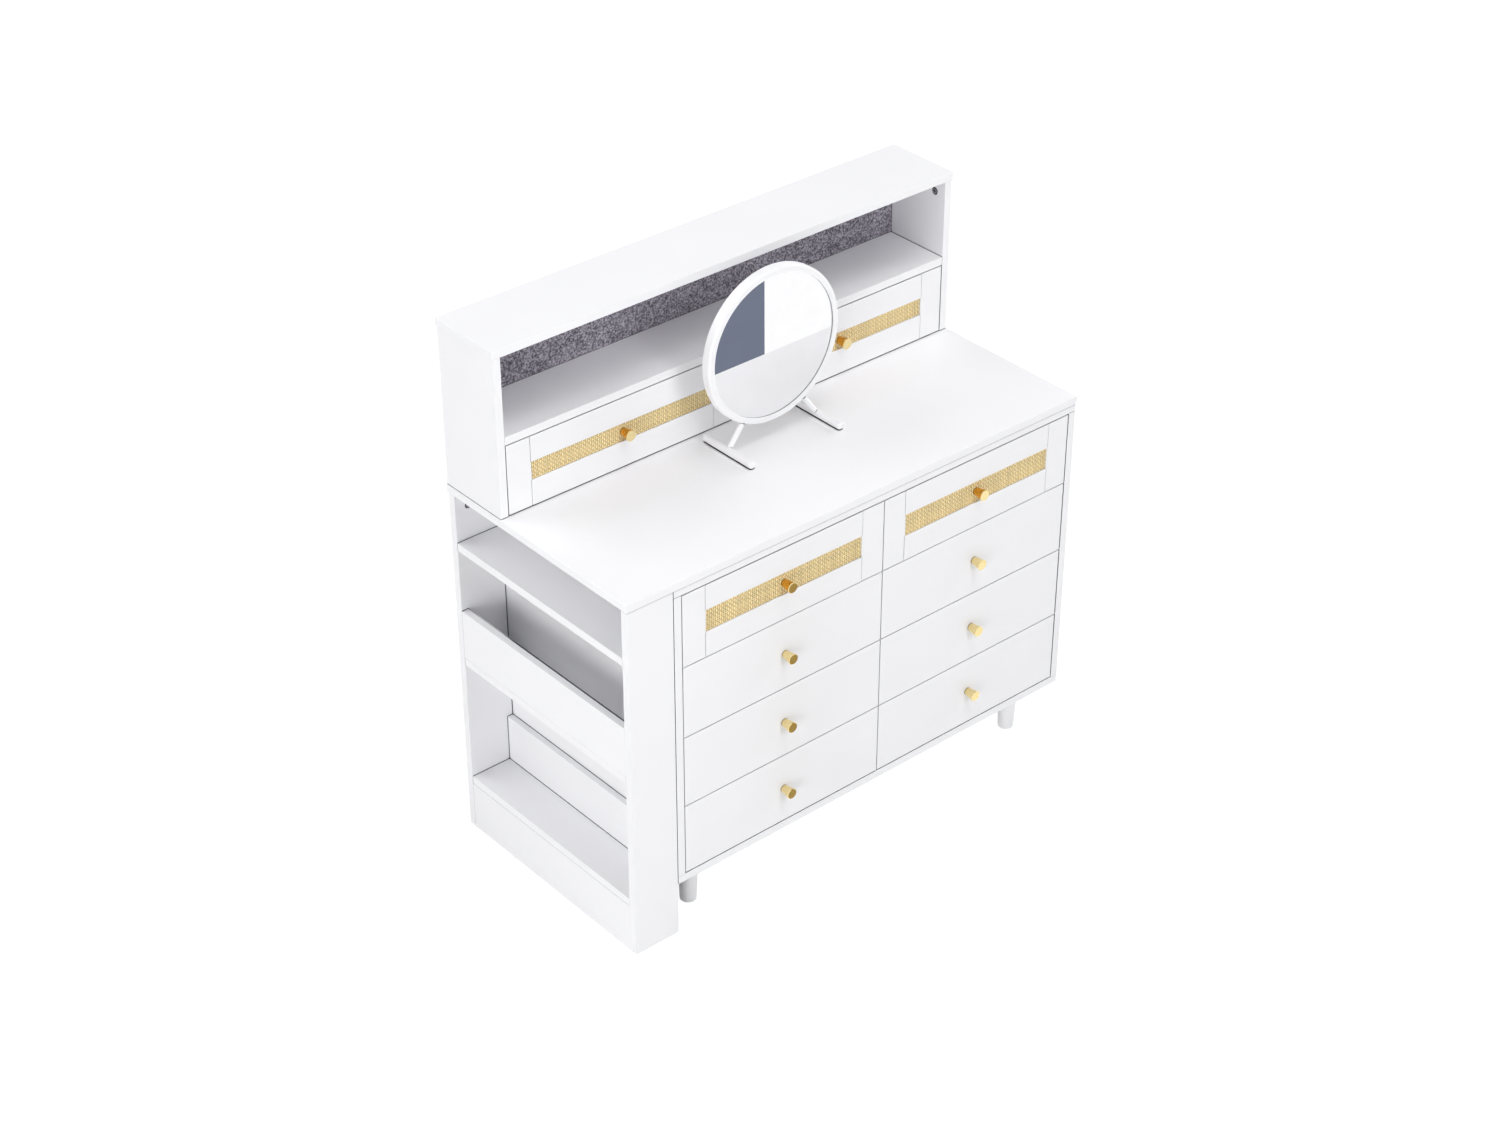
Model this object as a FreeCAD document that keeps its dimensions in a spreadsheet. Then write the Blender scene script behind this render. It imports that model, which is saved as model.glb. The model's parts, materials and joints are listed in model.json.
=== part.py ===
"""Dressing table: a chest of eight drawers with an open shelf unit on its left end, a hutch with
two drawers and a felt-lined niche, and a round mirror that stands loose on the table top.

Millimetres. +Z is up, +X to the right seen from the front, +Y to the back. The origin lies on the
floor, under the centre of the outline that the table top and the chest's knobs take up.
"""
import FreeCAD, Part
import math
import os
import re
import Sketcher

# Driving sizes, each set by itself.
SIZES = {
    "board": 15,
    "table_width": 1000,
    "table_depth": 477,
    "table_height": 708.5,
    "front_overhang": 2,
    "back_overhang": 3,
    "end_overhang": 2.5,
    # Chest
    "drawer_gap": 2,
    "divider_setback": 1,
    "back_panel_thickness": 3,
    "back_panel_inset": 8,
    "back_panel_tongue": 6,
    "slot_clearance": 0.2,
    # Legs
    "leg_height": 102,
    "leg_top_radius": 18.5,
    "leg_foot_radius": 14.75,
    "leg_foot_round": 3,
    "leg_end_inset": 67,
    "leg_front_inset": 58,
    "leg_stud_radius": 4,
    "leg_stud_length": 12,
    "stud_clearance": 0.2,
    # Side shelf unit
    "side_unit_width": 93.5,
    "side_unit_joint": 1.6,
    "upper_bay_height": 94.5,
    "middle_shelf_level": 366,
    "lower_shelf_level": 111,
    "guard_height": 96,
    "stretcher_height": 92,
    "stretcher_thickness": 12,
    # Hutch
    "hutch_height": 310,
    "hutch_depth": 151,
    "hutch_front_overhang": 1,
    "hutch_end_overhang": 2,
    "hutch_rear_inset": 2,
    "hutch_bay_height": 133.5,
    "hutch_back_thickness": 12,
    "felt_thickness": 3,
    # Drawer boxes and runners
    "drawer_side_thickness": 15,
    "drawer_side_height": 95,
    "drawer_box_lift": 12,
    "drawer_bottom_thickness": 3,
    "bottom_groove_depth": 5,
    "bottom_groove_rise": 9,
    "drawer_side_clearance": 1.5,
    "chest_drawer_rear_gap": 46,
    "hutch_drawer_rear_gap": 9,
    "runner_height": 16,
    "runner_reach": 8,
    "runner_clearance": 0.3,
    "runner_setback": 5,
    # Framed fronts
    "stile_width": 48,
    "stile_groove": 1.2,
    "rail_width": 47.5,
    "rattan_recess": 3,
    "rattan_thickness": 1.5,
    "rattan_lap": 6,
    # Knobs
    "knob_length": 22,
    "knob_tip_radius": 10,
    "knob_root_radius": 6.75,
    "knob_chamfer": 1,
    "knob_thread_radius": 2,
    "knob_thread_depth": 12,
    "screw_head_radius": 4,
    "screw_head_height": 2.5,
    "screw_tip_gap": 2,
    "screw_clearance": 0.25,
    # Cam locks
    "cam_radius": 7.4,
    "cam_depth": 12.5,
    "cam_clearance": 0.1,
    "cam_hub_radius": 4.5,
    "cam_ring_recess": 3,
    "cam_slot_width": 1.6,
    "cam_slot_length": 7,
    "cam_slot_depth": 2.5,
    "cam_inset": 26.5,
    "cam_setback": 26,
    "side_unit_cam_drop": 29,
    "side_unit_cam_setback": 27.5,
    # Mirror and its stand
    "mirror_offset": 13,
    "mirror_hutch_gap": 22,
    "mirror_clearance": 31.5,
    "mirror_radius": 143,
    "mirror_ring_width": 12,
    "mirror_depth": 20,
    "mirror_lip": 3,
    "mirror_rebate": 3,
    "mirror_edge_round": 4,
    "glass_thickness": 4,
    "mirror_back_thickness": 9,
    "mirror_fit_clearance": 0.2,
    "stand_spread": 99,
    "stand_foot_radius": 7,
    "stand_foot_front": 64,
    "stand_foot_back": 60,
    "stand_foot_round": 3,
    "stand_foot_clearance": 0.3,
    "stand_leg_radius": 5,
    "stand_leg_lean": 37,
    "stand_leg_setback": 5,
}

# Places and sizes that follow from the driving ones.
LAYOUT = {
    "left_edge": "-table_width / 2",
    "right_edge": "table_width / 2",
    "table_back": "(table_depth + knob_length - front_overhang) / 2",
    "table_front": "table_back - table_depth",
    "carcass_top": "table_height - board",
    "carcass_front": "table_front + front_overhang",
    "carcass_back": "table_back - back_overhang",
    # Chest
    "chest_left": "left_edge + end_overhang + side_unit_width",
    "chest_middle": "(chest_left + right_edge) / 2",
    "chest_ground": "leg_height + board",
    "chest_ceiling": "carcass_top - board",
    "bay_left": "chest_left + board",
    "bay_right": "right_edge - board",
    "front_rear": "carcass_front + board",
    "divider_front": "front_rear + divider_setback",
    "back_panel_front": "carcass_back - back_panel_inset - back_panel_thickness",
    "chest_front_width": "(bay_right - bay_left - 3 * drawer_gap) / 2",
    "chest_front_height": "(chest_ceiling - chest_ground - 5 * drawer_gap) / 4",
    "chest_row_pitch": "chest_front_height + drawer_gap",
    "chest_bay_width": "(bay_right - bay_left - board) / 2",
    "chest_box_width": "chest_bay_width - 2 * drawer_side_clearance",
    "chest_box_depth": "back_panel_front - front_rear - chest_drawer_rear_gap",
    "leg_front_place": "carcass_front + leg_front_inset",
    # Side shelf unit
    "side_unit_left": "left_edge + end_overhang",
    "side_unit_bay_front": "carcass_front + board",
    "side_unit_bay_back": "carcass_back - board",
    "upper_shelf_level": "carcass_top - upper_bay_height",
    # Hutch
    "hutch_top_level": "table_height + hutch_height",
    "hutch_ceiling": "hutch_top_level - board",
    "hutch_top_front": "table_back - hutch_depth",
    "hutch_front": "hutch_top_front + hutch_front_overhang",
    "hutch_rear": "table_back - hutch_rear_inset",
    "hutch_back_face": "hutch_rear - hutch_back_thickness",
    "hutch_left": "left_edge + hutch_end_overhang",
    "hutch_right": "right_edge - hutch_end_overhang",
    "hutch_bay_left": "hutch_left + board",
    "hutch_bay_right": "hutch_right - board",
    "hutch_shelf_underside": "table_height + hutch_bay_height",
    "hutch_shelf_level": "hutch_shelf_underside + board",
    "hutch_front_rear": "hutch_front + board",
    "hutch_front_width": "(hutch_bay_right - hutch_bay_left - 3 * drawer_gap) / 2",
    "hutch_front_height": "hutch_bay_height - 2 * drawer_gap",
    "hutch_bay_width": "(hutch_bay_right - hutch_bay_left - board) / 2",
    "hutch_box_width": "hutch_bay_width - 2 * drawer_side_clearance",
    "hutch_box_depth": "hutch_back_face - hutch_front_rear - hutch_drawer_rear_gap",
    # Grooves of the drawer sides, measured up from the side's lower edge
    "runner_groove_depth": "runner_reach - drawer_side_clearance + runner_clearance",
    "runner_groove_low": "(drawer_side_height - runner_height) / 2 - runner_clearance",
    "runner_groove_high": "(drawer_side_height + runner_height) / 2 + runner_clearance",
    "bottom_groove_web": "drawer_side_thickness - bottom_groove_depth",
    "bottom_low": "bottom_groove_rise + slot_clearance",
    "bottom_high": "bottom_low + drawer_bottom_thickness",
    "bottom_groove_high": "bottom_high + slot_clearance",
    "runner_rise": "drawer_box_lift + (drawer_side_height - runner_height) / 2",
    # Knobs and screws
    "knob_shoulder": "knob_length - knob_chamfer",
    "knob_face_radius": "knob_tip_radius - knob_chamfer",
    "knob_bore_radius": "knob_thread_radius + screw_clearance / 2",
    "knob_hole_radius": "knob_thread_radius + screw_clearance",
    "insert_face": "rattan_recess + rattan_thickness",
    "plain_grip": "board",
    "framed_grip": "board - rattan_recess",
    # Legs
    "leg_stud_top": "leg_height + leg_stud_length",
    "leg_hole_radius": "leg_stud_radius + stud_clearance",
    # Cam locks
    "cam_hole_radius": "cam_radius + cam_clearance",
    "cam_ring_level": "cam_depth - cam_ring_recess",
    "hutch_cam_level": "hutch_ceiling - cam_inset",
    "side_unit_cam_level": "carcass_top - side_unit_cam_drop",
    # Mirror and its stand
    "mirror_rise": "table_height + mirror_clearance + mirror_radius",
    "mirror_sight_radius": "mirror_radius - mirror_ring_width",
    "mirror_rebate_radius": "mirror_sight_radius + mirror_rebate",
    "mirror_fit_radius": "mirror_rebate_radius - mirror_fit_clearance",
    "mirror_back_face": "mirror_lip + glass_thickness",
    "mirror_back_end": "mirror_back_face + mirror_back_thickness",
    "stand_leg_place": "hutch_front - mirror_hutch_gap - stand_foot_back",
    "mirror_front": "stand_leg_place - stand_leg_setback",
    "stand_foot_level": "table_height + stand_foot_radius + stand_foot_clearance",
    "stand_foot_length": "stand_foot_front + stand_foot_back",
    "stand_foot_start": "stand_leg_place - stand_foot_front",
    "mirror_left_foot": "mirror_offset - stand_spread",
    "mirror_right_foot": "mirror_offset + stand_spread",
}

X_AXIS = FreeCAD.Vector(1, 0, 0)
Y_AXIS = FreeCAD.Vector(0, 1, 0)
Z_AXIS = FreeCAD.Vector(0, 0, 1)
NO_TURN = FreeCAD.Rotation()
HALF_TURN = FreeCAD.Rotation(Z_AXIS, 180)
ROWS = 4
EDGE_TOLERANCE = 0.001

doc = FreeCAD.newDocument("dressing_table")
nodes = []


def fill_sheet(name, entries):
    sheet = doc.addObject("Spreadsheet::Sheet", name)
    for row, (alias, content) in enumerate(entries.items(), 1):
        sheet.set(f"A{row}", alias)
        sheet.set(f"B{row}", content)
        sheet.setAlias(f"B{row}", alias)


def term(text, layout="Layout."):
    """An expression whose bare names, such as table_back - board, are looked up in the two sheets."""
    def qualified(match):
        name = match.group()
        return f"Sizes.{name}" if name in SIZES else f"{layout}{name}"
    return re.sub(r"[a-z_]+", qualified, text)


def bind(item, **sizes):
    for name, text in sizes.items():
        item.setExpression(name, term(text))


def place(item, x="0", y="0", z="0", rotation=NO_TURN):
    item.Placement = FreeCAD.Placement(FreeCAD.Vector(), rotation)
    for axis, text in zip("xyz", (x, y, z)):
        item.setExpression(f"Placement.Base.{axis}", term(text))


def node(item):
    """Keep an object as a named piece of the table."""
    nodes.append(item)
    return item


def block(name, x, y, z):
    """A box between a low and a high bound on each axis."""
    item = doc.addObject("Part::Box", name)
    bind(item, Length=f"{x[1]} - ({x[0]})", Width=f"{y[1]} - ({y[0]})", Height=f"{z[1]} - ({z[0]})")
    place(item, x[0], y[0], z[0])
    return item


def rod(name, radius, length, x="0", y="0", z="0", rotation=NO_TURN):
    item = doc.addObject("Part::Cylinder", name)
    bind(item, Radius=radius, Height=length)
    place(item, x, y, z, rotation)
    return item


def group(name, members, x="0", y="0", z="0", rotation=NO_TURN):
    """Separate solids that stay separate, placed together."""
    item = doc.addObject("Part::Compound", name)
    item.Links = members
    place(item, x, y, z, rotation)
    return item


def cut(name, base, tools):
    item = doc.addObject("Part::Cut", name)
    item.Base = base
    item.Tool = tools[0] if len(tools) == 1 else group(f"{name}_tools", tools)
    return item


def mirrored(name, source):
    """The piece on the other side of the plane x = 0."""
    item = doc.addObject("Part::Mirroring", name)
    item.Source = source
    item.Normal = X_AXIS
    return item


def sketch_outline(body, plane, corners):
    """A closed outline of straight lines; each corner is dimensioned from the sketch's origin,
    and a coordinate of 0 puts the corner on that axis."""
    sketch = body.newObject("Sketcher::SketchObject", f"{body.Name}_outline")
    support = [item for item in body.Origin.OriginFeatures if item.Role == plane]
    sketch.AttachmentSupport = (support[0], [""])
    sketch.MapMode = "FlatFace"
    count = len(corners)
    step = 2 * math.pi / count
    rough = [FreeCAD.Vector(math.cos(step * i), math.sin(step * i), 0) for i in range(count)]
    for i in range(count):
        sketch.addGeometry(Part.LineSegment(rough[i], rough[(i + 1) % count]))
    for i in range(count):
        sketch.addConstraint(Sketcher.Constraint("Coincident", i, 2, (i + 1) % count, 1))
    for i, corner in enumerate(corners):
        for kind, text, axis in zip(("DistanceX", "DistanceY"), corner, (-2, -1)):
            if text == "0":
                sketch.addConstraint(Sketcher.Constraint("PointOnObject", i, 1, axis))
                continue
            index = sketch.addConstraint(Sketcher.Constraint(kind, -1, 1, i, 1, 1.0))
            sketch.setExpression(f"Constraints[{index}]", term(text))
    return sketch


def turned(name, plane, corners):
    """A body of revolution about the sketch's upright axis."""
    body = doc.addObject("PartDesign::Body", name)
    sketch = sketch_outline(body, plane, corners)
    feature = body.newObject("PartDesign::Revolution", f"{name}_turned")
    feature.Profile = sketch
    feature.ReferenceAxis = (sketch, ["V_Axis"])
    feature.Angle = 360
    return body


def round_rims(body, radius, *rims):
    """Round the circular edges of a turned body, each given by its radius and its place along the axis."""
    doc.recompute()
    base = body.Tip
    names = []
    for i, edge in enumerate(base.Shape.Edges, 1):
        if not isinstance(edge.Curve, Part.Circle):
            continue
        centre = edge.Curve.Center
        for rim_radius, along in rims:
            near = abs(edge.Curve.Radius - rim_radius) < EDGE_TOLERANCE
            if near and abs(centre.y + centre.z - along) < EDGE_TOLERANCE:
                names.append(f"Edge{i}")
    feature = body.newObject("PartDesign::Fillet", f"{body.Name}_round")
    feature.Base = (base, names)
    bind(feature, Radius=radius)
    return body


fill_sheet("Sizes", {alias: str(value) for alias, value in SIZES.items()})
fill_sheet("Layout", {alias: "=" + term(text, layout="") for alias, text in LAYOUT.items()})
doc.recompute()
sizes = doc.getObject("Sizes")


# Cam locks: a drum in a blind hole, with a cross-slotted hub that ends flush and a lower ring round it.
def cam_lock():
    body = turned("cam_lock", "XZ_Plane", [
        ("0", "0"), ("cam_radius", "0"), ("cam_radius", "cam_ring_level"),
        ("cam_hub_radius", "cam_ring_level"), ("cam_hub_radius", "cam_depth"), ("0", "cam_depth")])
    slots = [
        block("cam_slot_along", ("-cam_slot_length / 2", "cam_slot_length / 2"),
              ("-cam_slot_width / 2", "cam_slot_width / 2"), ("cam_depth - cam_slot_depth", "cam_depth")),
        block("cam_slot_across", ("-cam_slot_width / 2", "cam_slot_width / 2"),
              ("-cam_slot_length / 2", "cam_slot_length / 2"), ("cam_depth - cam_slot_depth", "cam_depth")),
    ]
    return cut("cam_lock_slotted", body, slots)


CAM = cam_lock()
cams = []


def cam_holes(name, normal, places):
    """Blind holes in a board whose face looks along normal, each filled with a cam lock."""
    turn = FreeCAD.Rotation(Z_AXIS, normal)
    depth = [f"cam_depth * {int(-part)}" for part in (normal.x, normal.y, normal.z)]
    holes = []
    for index, spot in enumerate(places, 1):
        bottom = [f"{text} + {sunk}" for text, sunk in zip(spot, depth)]
        holes.append(rod(f"{name}_cam_hole_{index}", "cam_hole_radius", "cam_depth", *bottom, turn))
        cams.append(group(f"{name}_cam_{index}", [CAM], *bottom, turn))
    return holes


# Table top and chest.
def chest():
    depth = ("carcass_front", "carcass_back")
    panel = ("back_panel_front - slot_clearance", "back_panel_front + back_panel_thickness + slot_clearance")
    slot = block("back_panel_slot", ("bay_left - back_panel_tongue", "bay_right + back_panel_tongue"), panel,
                 ("chest_ground - back_panel_tongue", "chest_ceiling + back_panel_tongue"))
    node(block("table_top", ("left_edge", "right_edge"), ("table_front", "table_back"),
               ("carcass_top", "table_height")))
    top = block("chest_top_board", ("chest_left", "right_edge"), depth, ("chest_ceiling", "carcass_top"))
    node(cut("chest_top_panel", top, [slot]))
    bottom = block("chest_bottom_board", ("chest_left", "right_edge"), depth, ("leg_height", "chest_ground"))
    node(cut("chest_bottom_panel", bottom, [slot] + leg_holes()))
    upright = ("chest_ground", "chest_ceiling")
    ends = [(y, z) for y in ("carcass_front + 2 * cam_setback", "back_panel_front - 2 * cam_setback")
            for z in ("chest_ground + cam_inset", "chest_ceiling - cam_inset")]
    left = block("chest_left_board", ("chest_left", "bay_left"), depth, upright)
    left_holes = cam_holes("chest_left", X_AXIS, [("bay_left", y, z) for y, z in ends])
    node(cut("chest_left_side", left, [slot] + left_holes))
    right = block("chest_right_board", ("bay_right", "right_edge"), depth, upright)
    right_holes = cam_holes("chest_right", -X_AXIS, [("bay_right", y, z) for y, z in ends])
    node(cut("chest_right_side", right, [slot] + right_holes))
    node(block("chest_divider", ("chest_middle - board / 2", "chest_middle + board / 2"),
               ("divider_front", "back_panel_front"), upright))
    edge = "back_panel_tongue - slot_clearance"
    node(block("chest_back_panel", (f"bay_left - ({edge})", f"bay_right + {edge}"),
               ("back_panel_front", "back_panel_front + back_panel_thickness"),
               (f"chest_ground - ({edge})", f"chest_ceiling + {edge}")))


# Legs: tapered, turned, each on a stud in the chest's bottom panel.
LEG_PLACES = [(x, y) for x in ("chest_left + leg_end_inset", "right_edge - leg_end_inset")
              for y in ("leg_front_place", "carcass_back - leg_front_inset")]


def leg_holes():
    return [rod(f"leg_hole_{index}", "leg_hole_radius", "board", x, y, "leg_height")
            for index, (x, y) in enumerate(LEG_PLACES, 1)]


def legs():
    leg = turned("leg", "XZ_Plane", [
        ("0", "0"), ("leg_foot_radius", "0"), ("leg_top_radius", "leg_height"),
        ("leg_stud_radius", "leg_height"), ("leg_stud_radius", "leg_stud_top"), ("0", "leg_stud_top")])
    round_rims(leg, "leg_foot_round", (sizes.leg_foot_radius, 0))
    node(group("legs", [group(f"leg_{index}", [leg], x, y)
                        for index, (x, y) in enumerate(LEG_PLACES, 1)]))


# Side shelf unit, open to the left, with the chest's left side as its back. Its two upright boards stop
# a hairline short of the chest.
def side_unit():
    across = ("side_unit_left", "chest_left")
    board_across = ("side_unit_left", "chest_left - side_unit_joint")
    along = ("side_unit_bay_front", "side_unit_bay_back")
    facing = ("side_unit_left", "side_unit_left + board")
    upright = ("0", "carcass_top")
    cam_x = "side_unit_left + side_unit_cam_setback"
    front = block("side_unit_front_blank", board_across, ("carcass_front", "side_unit_bay_front"), upright)
    front_holes = cam_holes("side_unit_front", Y_AXIS,
                            [(cam_x, "side_unit_bay_front", "side_unit_cam_level")])
    node(cut("side_unit_front_board", front, front_holes))
    back = block("side_unit_back_blank", board_across, ("side_unit_bay_back", "carcass_back"), upright)
    back_holes = cam_holes("side_unit_back", -Y_AXIS,
                           [(cam_x, "side_unit_bay_back", "side_unit_cam_level")])
    node(cut("side_unit_back_board", back, back_holes))
    levels = ("upper_shelf_level", "middle_shelf_level", "lower_shelf_level")
    node(group("side_unit_shelves", [block(f"side_shelf_{index}", across, along, (f"{level} - board", level))
                                     for index, level in enumerate(levels, 1)]))
    node(block("side_unit_guard", facing, along, ("middle_shelf_level", "middle_shelf_level + guard_height")))
    node(block("side_unit_plinth", facing, along, ("0", "lower_shelf_level - board")))
    node(block("side_unit_stretcher", ("chest_left - stretcher_thickness", "chest_left"), along,
               ("lower_shelf_level", "lower_shelf_level + stretcher_height")))


# Hutch on the table top's rear edge.
def hutch():
    depth = ("hutch_front", "hutch_rear")
    upright = ("table_height", "hutch_ceiling")
    between = ("hutch_bay_left", "hutch_bay_right")
    spots = [(y, "hutch_cam_level") for y in ("hutch_front + cam_setback", "hutch_back_face - cam_setback")]
    left = block("hutch_left_board", ("hutch_left", "hutch_bay_left"), depth, upright)
    left_holes = cam_holes("hutch_left", X_AXIS, [("hutch_bay_left", y, z) for y, z in spots])
    right = block("hutch_right_board", ("hutch_bay_right", "hutch_right"), depth, upright)
    right_holes = cam_holes("hutch_right", -X_AXIS, [("hutch_bay_right", y, z) for y, z in spots])
    node(group("hutch_sides", [cut("hutch_left_side", left, left_holes),
                               cut("hutch_right_side", right, right_holes)]))
    node(block("hutch_top", ("left_edge", "right_edge"), ("hutch_top_front", "table_back"),
               ("hutch_ceiling", "hutch_top_level")))
    node(block("hutch_shelf", between, ("hutch_front", "hutch_back_face"),
               ("hutch_shelf_underside", "hutch_shelf_level")))
    node(block("hutch_divider", ("-board / 2", "board / 2"),
               ("hutch_front_rear + divider_setback", "hutch_back_face"),
               ("table_height", "hutch_shelf_underside")))
    node(block("hutch_back", between, ("hutch_back_face", "hutch_rear"), upright))
    node(block("hutch_felt", between, ("hutch_back_face - felt_thickness", "hutch_back_face"),
               ("hutch_shelf_level", "hutch_ceiling")))


# Drawers, modelled about the middle of their lower front edge. x = 0 is the middle of the front or box,
# y = 0 the front's face and z = 0 the front's lower edge.
def drawer_box(name, width, depth):
    """Two grooved sides, a back between them and a bottom in the sides' inner grooves."""
    side = doc.addObject("PartDesign::Body", f"{name}_side")
    outline = sketch_outline(side, "XZ_Plane", [
        ("0", "0"), ("drawer_side_thickness", "0"),
        ("drawer_side_thickness", "bottom_groove_rise"), ("bottom_groove_web", "bottom_groove_rise"),
        ("bottom_groove_web", "bottom_groove_high"), ("drawer_side_thickness", "bottom_groove_high"),
        ("drawer_side_thickness", "drawer_side_height"), ("0", "drawer_side_height"),
        ("0", "runner_groove_high"), ("runner_groove_depth", "runner_groove_high"),
        ("runner_groove_depth", "runner_groove_low"), ("0", "runner_groove_low")])
    pad = side.newObject("PartDesign::Pad", f"{name}_side_length")
    pad.Profile = outline
    pad.Reversed = True
    bind(pad, Length=depth)
    place(side, f"-{width} / 2", "board", "drawer_box_lift")
    inner = f"{width} / 2 - drawer_side_thickness"
    slotted = f"{width} / 2 - bottom_groove_web - slot_clearance"
    back = block(f"{name}_back", (f"-({inner})", inner),
                 (f"board + {depth} - drawer_side_thickness", f"board + {depth}"),
                 ("drawer_box_lift + bottom_high", "drawer_box_lift + drawer_side_height"))
    bottom = block(f"{name}_bottom", (f"-({slotted})", slotted),
                   ("board - bottom_groove_depth + slot_clearance", f"board + {depth}"),
                   ("drawer_box_lift + bottom_low", "drawer_box_lift + bottom_high"))
    return [side, mirrored(f"{name}_far_side", side), back, bottom]


def front_cutters(name, width, height, face):
    """The groove for the drawer's bottom along the front's rear, and the hole for the knob's screw."""
    groove = block(f"{name}_groove", (f"-{width} / 2", f"{width} / 2"),
                   ("board - bottom_groove_depth", "board"),
                   ("drawer_box_lift + bottom_groove_rise", "drawer_box_lift + bottom_groove_high"))
    hole = rod(f"{name}_screw_hole", "knob_hole_radius", f"board - ({face})", "0", face, f"{height} / 2",
               FreeCAD.Rotation(Z_AXIS, Y_AXIS))
    return groove, hole


def plain_front(name, width, height):
    panel = block(f"{name}_board", (f"-{width} / 2", f"{width} / 2"), ("0", "board"), ("0", height))
    return [cut(f"{name}_panel", panel, list(front_cutters(name, width, height, "0")))]


def framed_front(name, width, height):
    """Stiles and rails round a window, with an insert and its rattan sheet in a rebate behind it. A fine
    groove in the stile's face marks each joint. Returns the wooden members and the rattan sheet."""
    groove, hole = front_cutters(name, width, height, "rattan_recess")
    edge = f"{width} / 2"
    window = f"{width} / 2 - stile_width"
    lap = f"{window} + rattan_lap"
    low = "rail_width - rattan_lap"
    high = f"{height} - rail_width + rattan_lap"
    rebate = block(f"{name}_rebate", (f"-({lap})", lap), ("rattan_recess", "board"), (low, high))
    full = ("0", "board")
    lower_rail = ("0", "rail_width")
    upper_rail = (f"{height} - rail_width", height)
    joint = (f"-({window}) - stile_groove", f"-({window})")
    marks = [block(f"{name}_lower_joint_groove", joint, ("0", "stile_groove"), lower_rail),
             block(f"{name}_upper_joint_groove", joint, ("0", "stile_groove"), upper_rail)]
    left = block(f"{name}_stile_blank", (f"-{edge}", f"-({window})"), full, ("0", height))
    stile = cut(f"{name}_stile", left, [groove, rebate] + marks)
    lower = block(f"{name}_lower_rail_blank", (f"-({window})", window), full, lower_rail)
    upper = block(f"{name}_upper_rail_blank", (f"-({window})", window), full, upper_rail)
    members = [stile, mirrored(f"{name}_far_stile", stile),
               cut(f"{name}_lower_rail", lower, [groove, rebate]),
               cut(f"{name}_upper_rail", upper, [rebate])]
    fit = f"{lap} - slot_clearance"
    upright = (f"{low} + slot_clearance", f"{high} - slot_clearance")
    insert = block(f"{name}_insert_blank", (f"-({fit})", fit), ("insert_face", "board"), upright)
    members.append(cut(f"{name}_insert", insert, [hole]))
    sheet = block(f"{name}_rattan_blank", (f"-({fit})", fit), ("rattan_recess", "insert_face"), upright)
    return members, cut(f"{name}_rattan", sheet, [hole])


def knob_with_screw(name, grip):
    """A flared knob and the screw that holds it from inside the drawer; it points along +Y from its seat."""
    knob = turned(f"{name}_turned", "XY_Plane", [
        ("knob_bore_radius", "0"), ("knob_root_radius", "0"), ("knob_tip_radius", "knob_shoulder"),
        ("knob_face_radius", "knob_length"), ("0", "knob_length"), ("0", "knob_thread_depth"),
        ("knob_bore_radius", "knob_thread_depth")])
    end = f"screw_head_height + {grip} + knob_thread_depth - screw_tip_gap"
    screw = turned(f"{name}_screw", "XY_Plane", [
        ("0", "0"), ("screw_head_radius", "0"), ("screw_head_radius", "screw_head_height"),
        ("knob_thread_radius", "screw_head_height"), ("knob_thread_radius", end), ("0", end)])
    place(screw, y=f"-(screw_head_height + {grip})")
    return [knob, screw]


def drawers():
    plain = plain_front("plain_front", "chest_front_width", "chest_front_height")
    framed, rattan = framed_front("framed_front", "chest_front_width", "chest_front_height")
    hutch_framed, hutch_rattan = framed_front("hutch_front", "hutch_front_width", "hutch_front_height")
    box = drawer_box("chest_box", "chest_box_width", "chest_box_depth")
    hutch_box = drawer_box("hutch_box", "hutch_box_width", "hutch_box_depth")
    plain_knob = knob_with_screw("plain_knob", "plain_grip")
    framed_knob = knob_with_screw("framed_knob", "framed_grip")
    chest_columns = {
        "left": ("bay_left + drawer_gap + chest_front_width / 2", "bay_left + chest_bay_width / 2"),
        "right": ("bay_right - drawer_gap - chest_front_width / 2", "bay_right - chest_bay_width / 2"),
    }
    for side, (front_x, box_x) in chest_columns.items():
        for row in range(1, ROWS + 1):
            name = f"drawer_{side}_{row}"
            z = f"chest_ground + drawer_gap + {ROWS - row} * chest_row_pitch"
            middle = f"{z} + chest_front_height / 2"
            top_row = row == 1
            node(group(f"{name}_front", framed if top_row else plain, front_x, "carcass_front", z))
            node(group(f"{name}_box", box, box_x, "carcass_front", z))
            seat = "carcass_front + rattan_recess" if top_row else "carcass_front"
            knob = framed_knob if top_row else plain_knob
            node(group(f"{name}_knob", knob, front_x, seat, middle, HALF_TURN))
            if top_row:
                node(group(f"{name}_rattan", [rattan], front_x, "carcass_front", z))
    hutch_columns = {
        "left": ("hutch_bay_left + drawer_gap + hutch_front_width / 2",
                 "hutch_bay_left + hutch_bay_width / 2"),
        "right": ("hutch_bay_right - drawer_gap - hutch_front_width / 2",
                  "hutch_bay_right - hutch_bay_width / 2"),
    }
    for side, (front_x, box_x) in hutch_columns.items():
        name = f"hutch_drawer_{side}"
        z = "table_height + drawer_gap"
        middle = f"{z} + hutch_front_height / 2"
        node(group(f"{name}_front", hutch_framed, front_x, "hutch_front", z))
        node(group(f"{name}_box", hutch_box, box_x, "hutch_front", z))
        node(group(f"{name}_knob", framed_knob, front_x, "hutch_front + rattan_recess", middle, HALF_TURN))
        node(group(f"{name}_rattan", [hutch_rattan], front_x, "hutch_front", z))


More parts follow.
